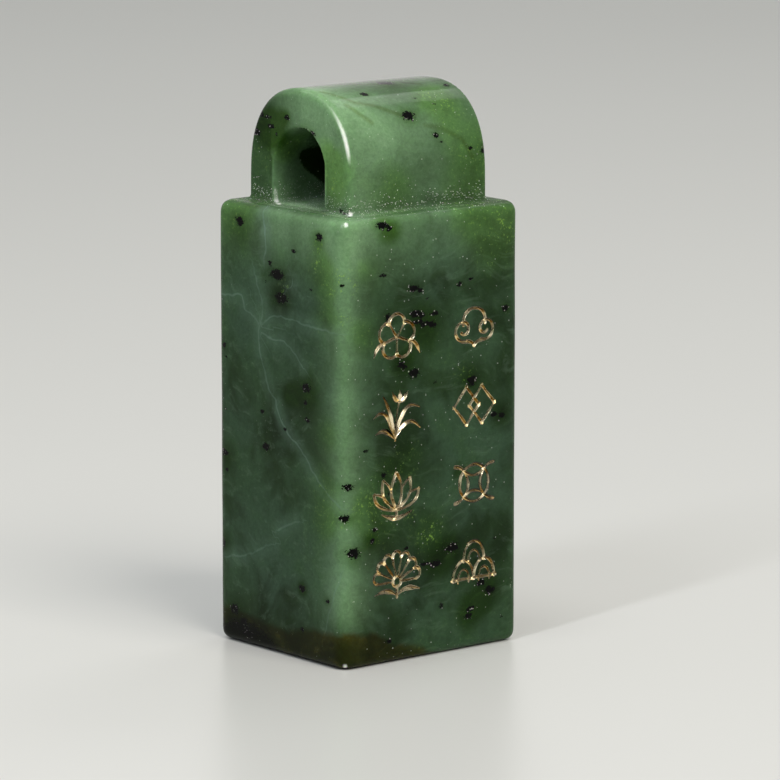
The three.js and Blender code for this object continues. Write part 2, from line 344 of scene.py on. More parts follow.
def chrysanthemum():
    petals, heart = 7, (0, -0.36)
    spread = 180 / petals
    strokes = [arc(heart, (0.22, 0.22), -10, 190), arc(heart, (0.22, 0.22), 170, 370)]
    strokes.append(line((0, -0.56), (0, -1)))
    for edge in range(petals + 1):
        strokes.append(line(polar(0.24, edge * spread, heart), polar(1.06, edge * spread, heart), thin))
    for petal in range(petals):
        direction = (petal + 0.5) * spread
        strokes.append(arc(polar(1.03, direction, heart), (0.23, 0.23), direction - 92, direction + 92))
    return strokes + bowPairs(((0, -0.95), (0.45, -0.55), (1.15, -0.8), blade))


def ruyiCloud():
    strokes = [arc((0, 0.2), (0.6, 0.56), -10, 190)]
    for side, start in ((1, -115), (-1, -65)):
        strokes.append(arc((side * 0.58, -0.12), (0.52, 0.5), start, start + side * 430, even, 0.3))
        strokes.append(bow((0, -0.8), (side * 0.1, -0.62), (side * 0.42, -0.6), even))
    return strokes


def doubleLozenge():
    strokes = []
    for middle in (-0.42, 0.42):
        points = (middle + 0.68, 0), (middle, 0.78), (middle - 0.68, 0), (middle, -0.78)
        corners = [np.array(p) for p in points]
        for start, end in zip(corners, corners[1:] + corners[:1]):
            past = (end - start) / np.linalg.norm(end - start) * 0.03
            strokes.append(line(start - past, end + past, steady))
    return strokes


def coinBrocade():
    radius = 0.78
    strokes = [arc((0, 0), (radius, radius), -5, 185), arc((0, 0), (radius, radius), 175, 365)]
    for quarter in range(4):
        inward = 90 * quarter + 180
        sweep = 85 if quarter % 2 == 0 else 45
        middle = polar(radius * math.sqrt(2), 90 * quarter)
        strokes.append(arc(middle, (radius, radius), inward - sweep, inward + sweep))
    return strokes


def waves():
    strokes = [line((-1.18, -0.78), (1.18, -0.78))]
    for middle in ((-0.56, -0.78), (0.56, -0.78), (0, 0)):
        strokes.append(arc(middle, (0.56, 0.78), -2, 182))
        strokes.append(arc(middle, (0.3, 0.4), -14, 194, thin))
    return strokes


# A graver's path on the face, evenly spaced, with its half widths and its directions
def cutPath(stroke, middle, chance):
    drawn, profile = stroke
    points = np.array(drawn) * engraving["unit"]
    travelled = np.concatenate([[0], np.cumsum(np.linalg.norm(np.diff(points, axis=0), axis=1))])
    steps = max(4, round(travelled[-1] / engraving["ringSpacing"]))
    along = np.linspace(0, travelled[-1], steps + 1)
    points = np.stack([np.interp(along, travelled, points[:, k]) for k in (0, 1)], axis=1)
    direction = np.gradient(points, axis=0)
    direction /= np.linalg.norm(direction, axis=1, keepdims=True)
    side = np.stack([-direction[:, 1], direction[:, 0]], axis=1)
    phase = chance.uniform(0, 2 * math.pi, 3)
    waver = np.sin(along * 1.7 + phase[0]) * 0.6 + np.sin(along * 4.1 + phase[1]) * 0.4
    widths = np.array([profile(t) for t in along / along[-1]]) * engraving["width"] / 2
    widths *= 1 + engraving["widthVariation"] * waver
    points += side * (engraving["wander"] * np.sin(along * 2.3 + phase[2]))[:, None]
    return points + middle, side, direction, widths


# A groove is a V, a little hollow in its sides, that runs out to nothing at its two tips
def grooveSolid(path, grow, name):
    points, side, direction, widths = path
    halfWide, last = engraving["width"] / 2, len(points) - 1
    flank = [(-1, 0), (-0.75, 0.3), (-0.5, 0.58), (-0.25, 0.83)]
    section = flank + [(0, 1)] + [(-across, down) for across, down in reversed(flank)]
    tips = [(-0.95, 0.35), (-0.75, 0.66), (-0.4, 0.9)]       # how far past the path's end, and how big
    stations = [(0, *tip) for tip in tips] + [(i, 0, 1) for i in range(last + 1)]
    stations += [(last, -push, scale) for push, scale in reversed(tips)]
    rings = []
    for i, push, scale in stations:
        half = (widths[i] + grow) * scale
        fullness = min(1.0, 0.4 + 0.6 * widths[i] / halfWide)       # a thin stroke is cut shallower
        depth = (engraving["depth"] * fullness + grow) * scale
        centre = points[i] + direction[i] * push * halfWide
        ring = [(centre + side[i] * half * across, depth * down) for across, down in section]
        ring += [(centre + side[i] * half, -0.5), (centre - side[i] * half, -0.5)]
        rings.append(np.array([(flat[0], frontY + into, flat[1]) for flat, into in ring]))
    return skin(name, rings)


def engrave(node, draw, chance):
    low, high = [np.array(corner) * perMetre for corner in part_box(node)]
    strokes = draw()
    drawn = np.concatenate([stroke[0] for stroke in strokes]) * engraving["unit"]
    middle = (low + high)[[0, 2]] / 2 - (drawn.min(0) + drawn.max(0)) / 2
    paths = [cutPath(stroke, middle, chance) for stroke in strokes]
    solids = []
    for grow in (0, engraving["gildingBite"], -engraving["gildingThickness"]):
        whole = grooveSolid(paths[0], grow, node + "_work")
        for path in paths[1:]:
            combine(whole, grooveSolid(path, grow, "stroke"), "UNION")
        solids.append(whole)
    groove, gilding, hollow = solids
    combine(gilding, hollow, "DIFFERENCE")
    above = frustum("above the gilding", low[0] - 1, frontY - 1, high[0] + 1,
                    frontY + engraving["gildingBelowFace"], low[2] - 1, high[2] + 1, 0)
    combine(gilding, above, "DIFFERENCE")
    gilding.name = gilding.data.name = node.replace("gilt_", "gilded_")
    return groove, gilding


ornaments = {
    "gilt_plum_blossom": plumBlossom,
    "gilt_orchid": orchid,
    "gilt_lotus": lotus,
    "gilt_chrysanthemum": chrysanthemum,
    "gilt_ruyi_cloud": ruyiCloud,
    "gilt_double_lozenge": doubleLozenge,
    "gilt_coin_brocade": coinBrocade,
    "gilt_waves": waves,
}
chance = np.random.default_rng(engraving["seed"])
gildings, grooves = {}, []
for node, draw in ornaments.items():
    groove, gildings[node] = engrave(node, draw, chance)
    grooves.append(groove)
for groove in grooves[1:]:
    combine(grooves[0], groove, "UNION")
combine(stone, grooves[0], "DIFFERENCE")
print("ornaments engraved and gilded:", len(gildings))


# Everything was ground by hand, so the stone and its gilding waver together by a few hundredths
handWork = {
    "waver": 0.035,
    "waves": 9,                # along each axis
    "shortest": 9.0,
    "longest": 28.0,
    "flatBelow": 2.0,          # the foot stays flat, and the wavering is full from a little above it
    "fullAbove": 8.0,
    "trim": 0.9985,            # leaves room for the wavering in the CAD box
    "seed": 11,
}


def unevenness(points):
    chance = np.random.default_rng(handWork["seed"])
    shift = np.zeros_like(points)
    for axis in range(3):
        for _ in range(handWork["waves"]):
            heading = chance.normal(size=3)
            heading /= np.linalg.norm(heading)
            length = chance.uniform(handWork["shortest"], handWork["longest"])
            phase = chance.uniform(0, 2 * math.pi)
            shift[:, axis] += np.sin(points @ heading * 2 * math.pi / length + phase) / handWork["waves"]
    shift *= handWork["waver"] * 2
    low, full = handWork["flatBelow"], handWork["fullAbove"]
    shift[:, 2] *= np.clip((points[:, 2] - low) / (full - low), 0, 1)
    return shift


def finishByHand(piece):
    points = readMesh(piece, "co")
    points += unevenness(points)
    points[:, :2] *= handWork["trim"]
    writePoints(piece, np.clip(points, stoneLow, stoneHigh))


for piece in [stone, *gildings.values()]:
    finishByHand(piece)
print("surfaces finished")


# Black inclusions, each with its half width and half height along the skin
inclusions = {
    "onLeftFace": [             # y, z
        (8, 56.3, 0.9, 0.7), (-8.5, 56, 0.75, 0.55), (-3.3, 53.6, 0.6, 0.3), (1.7, 51.5, 0.5, 0.35),
        (0.2, 50.2, 1.5, 0.75), (-0.6, 47.2, 1.4, 0.75), (2.6, 49, 0.35, 0.2), (-6.8, 49, 0.5, 0.2),
        (11.5, 39.5, 0.5, 0.45), (11, 38, 0.3, 0.2), (-5.7, 36.1, 1.0, 0.65), (-5.5, 34.2, 0.5, 0.35),
        (3.5, 31.8, 0.5, 0.35), (-6, 32, 0.7, 0.35), (11.2, 31, 0.35, 0.2), (-1.3, 30.1, 0.4, 0.3),
        (2.6, 27.2, 0.85, 0.55), (11.5, 25.2, 0.8, 0.5), (11, 23, 0.4, 0.3), (12, 13, 0.7, 0.75),
        (-4.8, 9.6, 0.7, 0.5), (-10, 8.8, 0.5, 0.35), (9.5, 4.5, 0.9, 0.7), (7.5, 3, 0.8, 0.5),
        (6.8, 1.8, 1.3, 0.7), (-4.8, 4.2, 0.45, 0.35), (9, 2.5, 0.4, 0.3),
    ],
    "onFrontFace": [            # x, z
        (-8.4, 57.5, 1.1, 0.6), (-7.4, 57, 0.6, 0.4), (-8.4, 51, 0.6, 0.3), (-3.2, 48.8, 1.0, 0.5),
        (-2, 48.4, 0.5, 0.3), (4.5, 48.6, 0.5, 0.4), (6.4, 49.1, 0.5, 0.25), (12.3, 44.7, 0.6, 0.5),
        (-1, 47.3, 0.3, 0.2), (-2.9, 45.5, 1.1, 0.55), (-1.9, 45.2, 0.6, 0.4), (0.3, 45.2, 0.9, 0.35),
        (-2.6, 44.4, 0.9, 0.35), (-1.2, 44, 1.3, 0.4), (0, 43.7, 0.8, 0.4), (-7.4, 45.3, 0.7, 0.7),
        (-3.2, 37.8, 1.0, 0.65), (-5.3, 39.1, 0.7, 0.5), (-4.8, 38.7, 0.4, 0.3), (0.3, 36.2, 0.35, 0.3),
        (6.6, 35.7, 0.9, 0.8), (-11.2, 28.5, 0.6, 0.25), (-8.2, 25, 0.5, 0.4), (11.8, 30.5, 0.6, 0.4),
        (10.4, 30.8, 0.6, 0.4), (-9.7, 18, 0.6, 0.3), (-10.2, 16.6, 0.5, 0.4), (-4.5, 14.9, 0.45, 0.3),
        (3.3, 14, 1.2, 0.7), (-1.4, 12.4, 0.7, 0.35), (0.4, 12.2, 1.0, 0.6), (8.2, 8.6, 0.8, 0.55),
        (9.8, 7.4, 1.0, 0.65), (6.5, 5.3, 0.9, 0.4), (6.1, 4.4, 0.8, 0.4), (11.8, 3.6, 0.6, 0.2),
        (1.4, 6.5, 0.45, 0.4), (-7.4, 3, 0.6, 0.35), (-7.5, 22.3, 0.3, 0.2), (10.5, 14.3, 0.3, 0.2),
    ],
    "elsewhere": [              # x, y, z
        (-14.6, -12.6, 50.2, 0.4, 0.25), (-14, -13.1, 24.1, 0.95, 0.45), (-14.4, -12.9, 20, 0.85, 0.5),
        (-13.2, -13.2, 15.4, 1.1, 0.75), (-12.5, -11.2, 58.7, 0.5, 0.3), (-11.6, -8.9, 59.1, 0.45, 0.3),
        (-11.6, -9.9, 58.8, 0.5, 0.25), (-11.6, 8, 70, 1.1, 0.45), (-11.6, 6.2, 69.8, 0.8, 0.3),
        (-11.6, 8.6, 67.6, 0.8, 0.5), (-11.6, 5.6, 68.6, 0.8, 0.4), (-11.6, 4.4, 67.7, 0.4, 0.3),
        (-11.6, 2.4, 70.1, 0.6, 0.4), (-4.5, -4.7, 73.2, 0.7, 0.35), (-0.1, -8.4, 70.4, 1.1, 0.65),
        (3.4, -9.8, 67.8, 0.6, 0.35), (4, -9.9, 66.8, 0.3, 0.3), (9.6, -4.4, 73.3, 0.5, 0.4),
        (1.5, -1.5, 73.9, 1.2, 0.5), (8.8, -10.3, 65.7, 0.4, 0.3), (5, -7.5, 71.5, 0.3, 0.2),
        (2.5, -6.5, 72.4, 0.35, 0.2),
    ],
    "unseenCount": 95,          # on the other sides, as thickly strewn as on these
    "unseenRadius": (0.25, 0.8),
    "unseenFrom": (-14, -12.3, 1.5),
    "givenSide": (-0.63, -0.76, 0.18),
    "haloShare": 0.6,           # dark green round each, less round the smallest
    "haloReach": 2.6,
    "haloFullFrom": 0.5,
    "seed": 23,
}
# Soft patches of another shade: x, y, z, reach and strength of each
patches = {
    "deepNear": [               # saturated dark green, mostly round inclusions
        (-15, -0.5, 46.8, 3.2, 0.85), (-15, -6, 35.2, 3.4, 1), (-15, -2.2, 34.8, 1.6, 0.9),
        (-15, 6, 33.2, 2, 0.5), (-15, 8, 55, 3, 0.6), (-15, -8.3, 55.3, 2, 0.6), (-15, 11.2, 24.5, 3, 0.8),
        (-15, -4.8, 9.6, 1.5, 1), (-15, -10, 8.8, 1, 0.7), (-15, 9, 3, 4, 0.9), (-15, 12, 13, 2.4, 0.8),
        (-15, 1.5, 24, 2.2, 0.35), (-1.4, -13.2, 44, 4, 1), (-7.4, -13.2, 56.4, 2.4, 0.8),
        (-5.2, -13.2, 39, 2.2, 1), (6.4, -13.2, 36, 3, 0.9), (11.5, -13.2, 30.6, 2.4, 0.9),
        (4.2, -13.2, 24, 1.6, 0.8), (-10.2, -13.2, 16.7, 1.6, 0.8), (0.4, -13.2, 12.2, 3, 0.9),
        (3.3, -13.2, 14, 2.6, 0.8), (9.6, -13.2, 7.4, 3, 0.9), (6.2, -13.2, 4.8, 2.8, 1),
        (-13, -13.2, 14.8, 2.2, 0.7), (-8.3, -13.2, 25, 1.8, 0.6), (-11.6, 7, 68.6, 3.4, 1),
        (-11.6, 4.6, 68, 2.4, 0.8), (-11.6, 2.4, 70.2, 1.4, 0.7), (1.5, -2.3, 73.8, 3.4, 0.7),
        (-11.6, -4.8, 69.4, 2, 0.3), (3.5, -9.9, 67, 1.4, 0.5), (12.9, -11, 45, 2, 0.6),
    ],
    "leafNear": [               # yellower green, with bright flecks
        (-14.8, 8.5, 57.5, 5, 0.9), (11.8, -13.2, 55.6, 5.5, 1), (7, -13.2, 57.5, 4, 0.6),
        (-15, -9.6, 53.4, 2.8, 0.6), (-15, -10.4, 50, 2.8, 0.6), (-15, -10.6, 45.6, 2.6, 0.6),
        (-11.4, -13.2, 52, 3, 0.5), (-15, -10.6, 30.2, 2.8, 0.5), (-15, -10.2, 24, 2.6, 0.6),
        (-15, -10.2, 19, 2.8, 0.6), (-10.6, -13.2, 21, 3.2, 0.6), (-9, -13.2, 17, 3, 0.6),
        (-11.6, -7.6, 62.5, 3.4, 1), (-11.6, -6.3, 66, 3, 0.9), (5.6, -7, 71.9, 3.6, 1),
        (8, -10.4, 64, 4, 0.6), (-4.5, -10.6, 61.5, 4, 0.6), (-4, -13.2, 27, 2.8, 0.6),
        (-0.5, -13.2, 16.2, 3, 0.7), (-7, -13.2, 26, 2.4, 0.5), (-12, -13.2, 43.5, 2.6, 0.5),
        (-11.6, 7.6, 64.6, 3, 0.5), (12, -9, 65, 3.5, 0.6), (-9.4, 4.6, 66, 2.4, 1),
    ],
    "fleckNear": [              # clusters of bright yellow-green flecks
        (-15, -8.5, 55, 1.3, 0.7), (-15, -7.6, 52.4, 1.4, 0.7), (-14.6, -12.6, 51.4, 1, 0.9),
        (-13.8, -13.2, 50.2, 1.2, 1), (-15, -10.7, 49.4, 1, 1), (-14.6, -12.6, 45.8, 0.9, 0.9),
        (-14.8, -12.2, 19.6, 1, 0.8), (-12.6, -13.2, 21.4, 1.2, 0.6), (-10.6, -13.2, 21.2, 1.3, 0.7),
        (-3.9, -13.2, 19.2, 1, 0.7), (-0.5, -13.2, 16.1, 1.9, 0.8), (7.3, -12.6, 58.4, 1, 0.8),
        (11.8, -13.2, 56.4, 1.4, 0.7), (12.4, -13.2, 54.4, 1.2, 0.6), (5.4, -13.2, 36.4, 1.3, 0.8),
        (6.6, -7.2, 71.9, 1.6, 0.65), (4.6, -6.6, 72.2, 1.2, 0.4), (-11.6, -7.4, 62.4, 1.3, 0.8),
        (-15, -1.2, 48.4, 1, 0.7), (10, 13.2, 40, 2.2, 0.9), (-6, 13.2, 22, 2.4, 0.9), (15, 6, 50, 2, 0.9),
        (15, -4, 28, 2.4, 0.8),
    ],
    "mistNear": [               # bluish haze
        (-15, 7, 46.4, 5, 0.9), (-15, 4.8, 43.6, 4.5, 0.7), (-15, -1.2, 11, 7, 0.6),
        (-15, 4.4, 15, 6.5, 0.6), (-15, -5, 15, 5, 0.5), (2, -13.2, 52.5, 3.4, 0.9),
        (-0.4, -13.2, 47, 2, 0.7), (9.8, -13.2, 27.4, 5, 0.7), (5.6, -13.2, 22.5, 5.5, 1),
        (1.2, -13.2, 31, 4, 0.5), (6.5, -13.2, 42, 3.6, 0.4), (-4, -13.2, 8.5, 5, 0.6),
        (-11.6, 9, 63, 4, 0.8), (6, -13.2, 1.5, 6, 0.4), (-15, -2.5, 41, 5, 0.5), (-15, 8, 30, 5, 0.35),
        (-15, -5.8, 47, 3.2, 1), (-14.6, -12.8, 49, 2.6, 0.6), (-14.6, -12.8, 36, 4, 0.6),
        (-14.6, -12.8, 14, 4, 0.6),
    ],
    "gritNear": [               # more broken grains, painted as sparkles
        (-10.2, 0.8, 58.7, 2.2, 0.7), (-11.1, 4.9, 59.3, 0.9, 1), (-11.5, 4.4, 58.7, 0.8, 0.8),
        (-9.6, 1.4, 58.7, 1.6, 0.7), (-10.6, -2.4, 58.7, 1.8, 0.9), (-11.8, -10.6, 58.8, 0.8, 0.8),
    ],
    "glow": [                   # painted glow, paler still, where light comes through
        (-11.6, -2.6, 72.2, 5, 0.7), (-9.6, -8.2, 69.6, 5, 0.5), (-4.8, -8.9, 69.4, 5.5, 0.36),
        (-11.6, -8.4, 62.5, 4.6, 0.16), (2, -9.9, 67, 7, 0.16), (-10, -10.6, 60.6, 4, 0.3),
        (8, -6, 72.6, 7, 0.1), (-14.7, -11.6, 57.2, 4, 0.24), (-14.5, -12.6, 11, 5, 0.12),
        (-11.6, 1.6, 72.6, 4, 0.3), (-9.5, 2, 58.7, 4.5, 0.35), (-15, -0.5, 56.8, 3.4, 0.2),
        (-15, -6, 57, 3.2, 0.16), (-15, 3.9, 43.8, 1.6, 0.14), (-15, 3, 46.5, 1.6, 0.08),
    ],
}
# Healed cracks are whitish and on the left face alone, stained hairlines wander over the knob and the foot
cracks = {
    "healed": [                 # y and z along each
        [(3.5, 58.7), (2.7, 56), (2.7, 52.4)],
        [(4.8, 49.6), (4, 47.6), (3.4, 46), (3.2, 44.2), (3.8, 43.2), (4.2, 41), (3.4, 38.3), (2.2, 35.4),
         (0.7, 33.4), (-0.3, 31.4), (-2.8, 29), (-5, 27.5), (-6.5, 26), (-8, 24.2), (-10.6, 22.6),
         (-12.3, 21.5)],
        [(12.5, 46.2), (7.5, 46.7), (7, 45), (5.5, 44.3), (3.8, 43.2), (1.7, 44.3), (-0.6, 44.8),
         (-4.5, 44.5), (-8.2, 44.1), (-11.6, 43.9)],
        [(3.4, 42.2), (1.3, 41.6), (-1, 41.5), (-2.4, 41), (-3.5, 40), (-5, 38.8)],
        [(0.2, 16.6), (-1.9, 17.6), (-4.1, 18.3)],
        [(11.1, 11.2), (7.2, 12.1), (3.7, 13.6), (1.1, 14.5)],
        [(-12.5, 13), (-10.8, 8), (-9.5, 4.5)],
        [(-2.3, 48.7), (-3.1, 49.3), (-2.9, 49.8)],
    ],
    "healedReach": 2.2,
    "clearer": 1.1,             # how much clearer the uppermost one is
    "clearerFrom": (50, 55),
    "stained": [                # x, y and z along each
        [(-10.1, -3, 73.7), (-8.6, -4.9, 73.1), (-7.3, -6.2, 72.4), (-4.9, -6.8, 72), (-2.4, -7.8, 71),
         (-0.7, -8.4, 70.4)],
        [(-8.8, -6.4, 72.2), (-7.8, -7.6, 71.2), (-6.4, -8.6, 70)],
        [(-3, -1, 74), (0, -2, 74), (3, -1.5, 74), (6, -3.5, 73.6)],
        [(-12.6, -13.2, 4.6), (-10.8, -13.2, 4.2), (-9.6, -13.2, 3.6)], [(-15, -11, 3.4), (-15, -9.4, 3)],
        [(2, -9.3, 69.2), (4.5, -9.5, 68.6), (7.5, -10, 67), (9, -10.4, 64.5)],
    ],
    "stainReach": 1.5,
}
# Painted light: the stone is drawn paler where light glows through it, down the front edge, at the edges
# and in the tunnel's mouths, and where light falls from above, near the top and on the knob's front.
# Sizes in mm, and strengths in shares of the glow green
glowParts = {
    "frontGlowReach": 2.9,           # half width of the painted glow down the front edge
    "frontGlowShare": 0.72,
    "frontGlowFoot": (2.5, 8),       # heights over which it sets in
    "seamTop": 2.2,             # and how far under the shoulder it dims
    "frontGlowDimmed": 0.55,
    "topReach": 11.7,           # how far the painted light on the top reaches down from the shoulder
    "topShare": 0.3,
    "topShareNearFrontEdge": 0.34,
    "topFade": 13.0,
    "ledgeDimmed": 0.75,
    "knobShare": 0.04,
    "knobShareInFront": 0.16,
    "knobFront": (9, -5),
    "tunnelShare": 0.12,
    "mouthShare": 0.5,          # light comes in at the tunnel's mouths
    "mouthFade": 4.5,
    "mouthHeights": (72, 59),
    "edgeShare": 0.02,
    "edgeFade": 3.0,
}
# Weathered skin at the foot, a blackish patch at the foot of the left face, and painted shadow deep in the
# tunnel
skinAndShadow = {
    "russetAlong": (-27, -20, -12, -6, 0, 5.5, 8.5, 13, 18),         # along the foot from the front edge
    "russetHeight": (4.8, 4.2, 3.6, 4.6, 5.0, 4.2, 2.6, 1.2, -0.5),
    "russetFade": 3.0,
    "darkPatch": (-15, 7, 0),   # centre of the blackish patch at the foot of the left face
    "darkReach": (3, 7, 3.4),
    # painted shadow deep inside the tunnel, bounded like the shadow of the mouth's arch
    "shadowShare": 1.1,
    "shadowInside": (2.8, 5.4),  # how far in from the mouths the painted shadow sets in
    "grimeRise": 8.2,           # its lower edge slopes down inwards, from this high above the ledge
    "shadowSlope": 0.73,
    "shadowLowest": 0.8,
    "shadowFade": (-1.4, 0.6),
    "roofHeights": (5.8, 7.2),  # it thins out under the roof
    "roofThinned": 0.6,
}
# Where the polish is missing, and painted highlights: along the tunnel's rims, along the front edge of the
# knob's left end, and as small glints
groundAndHighlights = {
    "groundReach": 1.6,         # how far from the knob's foot the stone is left ground and unpolished
    "groundHeight": 3.2,
    "rimShare": 0.62,           # painted highlight along the tunnel's rims
    "rimReach": 0.7,
    "edgeReach": 0.52,          # painted highlight along the front edge of the knob's left end
    "edgeInset": 0.25,
    "edgeFrom": (63, 67.5),
    "edgeDims": (68.5, 73),
    "edgeDimmed": 0.55,
    "paintedGlintReach": 0.42,
    "paintedGlints": [                 # painted glints, as small pale spots, with x, y and z along each
        [(-11.3, 5, 60.4), (-11.2, 5, 58.9)], [(-11.5, 4.2, 58.7), (-11.9, 3.6, 58.7)],
        [(-14.1, -12.8, 58), (-14.1, -12.8, 58.3)], [(-11.9, -10.9, 58.7), (-11.2, -10.2, 58.9)],
        [(-14.1, -12.5, 0.6), (-14.1, -12.5, 0.8)],
    ],
}


def inclusionSites(points, normals):
    sites = [(stoneLow[0], *site) for site in inclusions["onLeftFace"]]
    sites += [(site[0], frontY, *site[1:]) for site in inclusions["onFrontFace"]]
    sites += inclusions["elsewhere"]
    chance = np.random.default_rng(inclusions["seed"])
    away = normals @ np.array(inclusions["givenSide"]) < 0.05
    unseen = np.flatnonzero((points > inclusions["unseenFrom"]).all(axis=1) & away)
    for i in chance.choice(unseen, inclusions["unseenCount"], replace=False):
        radius = chance.uniform(*inclusions["unseenRadius"]) * chance.uniform(0.6, 1)
        sites.append((*points[i], radius * 1.6, radius))
        for _ in range(chance.integers(0, 3)):
            sites.append((*(points[i] + chance.normal(scale=1.5 * radius, size=3)), radius, radius * 0.6))
    return sites


def paintMask(piece, name, values):
    mask = piece.data.attributes.new(name, "FLOAT", "POINT")
    mask.data.foreach_set("value", values.astype(np.float32))


# Distance to a line of straight pieces, and on which side of it each point lies
def fromLine(points, corners):
    nearest, side = np.full(len(points), 99.0), np.ones(len(points))
    for start, end in zip(np.array(corners[:-1], float), np.array(corners[1:], float)):
        along = (end - start) / np.linalg.norm(end - start)
        apart = points - start
        reach = np.clip(apart @ along, 0, np.linalg.norm(end - start))
        away = np.linalg.norm(apart - reach[:, None] * along, axis=1)
        if points.shape[1] == 2:
            side = np.where(away < nearest, np.sign(apart @ np.array([-along[1], along[0]])), side)
        nearest = np.minimum(nearest, away)
    return nearest, side


def ramp(values, start, end):
    t = np.clip((values - start) / (end - start), 0, 1)
    return t * t * (3 - 2 * t)


# Soft patches of one kind, each fading out over its reach
def patchy(points, kind):
    total = 0
    for x, y, z, reach, strength in patches[kind]:
        total += strength * np.exp(-((points - (x, y, z)) ** 2).sum(1) / reach ** 2)
    return total


def paintInclusions(piece, points, normals):
    near, halo = np.zeros(len(points)), np.zeros(len(points))
    for x, y, z, halfWide, halfHigh in inclusionSites(points, normals):
        away = np.linalg.norm((points - (x, y, z)) / (halfWide, halfWide, halfHigh), axis=1)
        near = np.maximum(near, 1 - away / 2)
        share = inclusions["haloShare"] * min(1.0, halfHigh / inclusions["haloFullFrom"])
        halo = np.maximum(halo, share * np.exp(-(away / inclusions["haloReach"]) ** 2))
    paintMask(piece, "inclusionNear", np.clip(near, 0, 1))
    paintMask(piece, "deepNear", np.clip(np.maximum(patchy(points, "deepNear"), halo), 0, 1))
    for kind in ("leafNear", "fleckNear", "mistNear"):
        paintMask(piece, kind, np.clip(patchy(points, kind), 0, 1))


# A signed distance keeps the cracks' lines sharp between the mesh's points
def paintCracks(piece, points):
    nearest, signed = np.full(len(points), 99.0), np.full(len(points), 99.0)
    for path in cracks["healed"]:
        away, side = fromLine(points[:, 1:], path)
        signed = np.where(away < nearest, away * side, signed)
        nearest = np.minimum(nearest, away)
    onFace = np.clip((-12.5 - points[:, 0]) / 1.5, 0, 1)
    paintMask(piece, "crackSide", np.clip(signed, -5, 5))
    clearness = 1 + cracks["clearer"] * ramp(points[:, 2], *cracks["clearerFrom"])
    paintMask(piece, "crackStrength", onFace * clearness * np.clip(cracks["healedReach"] - nearest, 0, 1))
    stained = np.min([fromLine(points, path)[0] for path in cracks["stained"]], axis=0)
    paintMask(piece, "stainNear", np.clip(1 - stained / cracks["stainReach"], 0, 1))


def insideTunnel(points):
    x, y, z = points.T
    margin = 0.6
    inArch = (np.abs(y) < tunnelSide + margin) & (z < tunnelTop + margin)
    return inArch & (np.abs(x) < knobEnd) & (z > shoulderZ - 0.5)


def paintGlow(piece, points):
    # Painted light: a glow down the front edge, near the top, on the knob's front, in the tunnel's mouths and
    # at the edges
    x, y, z = points.T
    fromFrontEdge = np.hypot(x + halfWidth, y + halfDepth)
    seam = np.exp(-(fromFrontEdge / glowParts["frontGlowReach"]) ** 1.5) * ramp(z, *glowParts["frontGlowFoot"])
    seam *= 1 - glowParts["frontGlowDimmed"] * ramp(z, shoulderZ - glowParts["seamTop"], shoulderZ)
    top = glowParts["topShare"] + glowParts["topShareNearFrontEdge"] * np.exp(-fromFrontEdge / glowParts["topFade"])
    top *= ramp(z, shoulderZ - glowParts["topReach"], shoulderZ + 1)
    top *= 1 - glowParts["ledgeDimmed"] * ramp(z, shoulderZ - 0.6, shoulderZ - 0.1)
    knobPart = ramp(z, shoulderZ - 0.5, shoulderZ + 2.5)
    knob = glowParts["knobShare"] + glowParts["knobShareInFront"] * ramp(y, *glowParts["knobFront"])
    mouth = np.exp(-(knobEnd - np.abs(x)) / glowParts["mouthFade"]) * ramp(z, *glowParts["mouthHeights"])
    tunnel = glowParts["tunnelShare"] + glowParts["mouthShare"] * mouth
    upper = np.where(insideTunnel(points), tunnel, knobPart * knob)
    fromEdges = np.hypot(halfWidth - np.abs(x), halfDepth - np.abs(y))
    paintedGlow = glowParts["frontGlowShare"] * seam + np.maximum(top * (1 - knobPart), upper)
    paintedGlow += glowParts["edgeShare"] * np.exp(-fromEdges / glowParts["edgeFade"]) + patchy(points, "glow")
    paintMask(piece, "paintedGlow", np.clip(paintedGlow, 0, 1))


def paintSkinAndShadow(piece, points):
    x, y, z = points.T
    along = np.where(np.abs(x + halfWidth) < 2, -(y + halfDepth), np.where(y < 0, x + halfWidth, 40))
    height = np.interp(along, skinAndShadow["russetAlong"], skinAndShadow["russetHeight"])
    paintMask(piece, "russetNear", np.clip(0.5 + (height - z) / skinAndShadow["russetFade"], 0, 1))
    fromPatch = np.linalg.norm((points - skinAndShadow["darkPatch"]) / skinAndShadow["darkReach"], axis=1)
    # Painted shadow deep in the tunnel, its lower edge sloping down inwards like the shadow of the mouth's
    # arch
    inwards, above = knobEnd - np.abs(x), z - shoulderZ
    lowest = np.maximum(skinAndShadow["grimeRise"] - skinAndShadow["shadowSlope"] * inwards, skinAndShadow["shadowLowest"])
    grime = ramp(inwards, *skinAndShadow["shadowInside"]) * ramp(above - lowest, *skinAndShadow["shadowFade"])
    grime *= insideTunnel(points) * (1 - skinAndShadow["roofThinned"] * ramp(above, *skinAndShadow["roofHeights"]))
    paintMask(piece, "darkPatchAndShadowNear", np.clip(np.maximum(1.5 - fromPatch, skinAndShadow["shadowShare"] * grime), 0, 1))


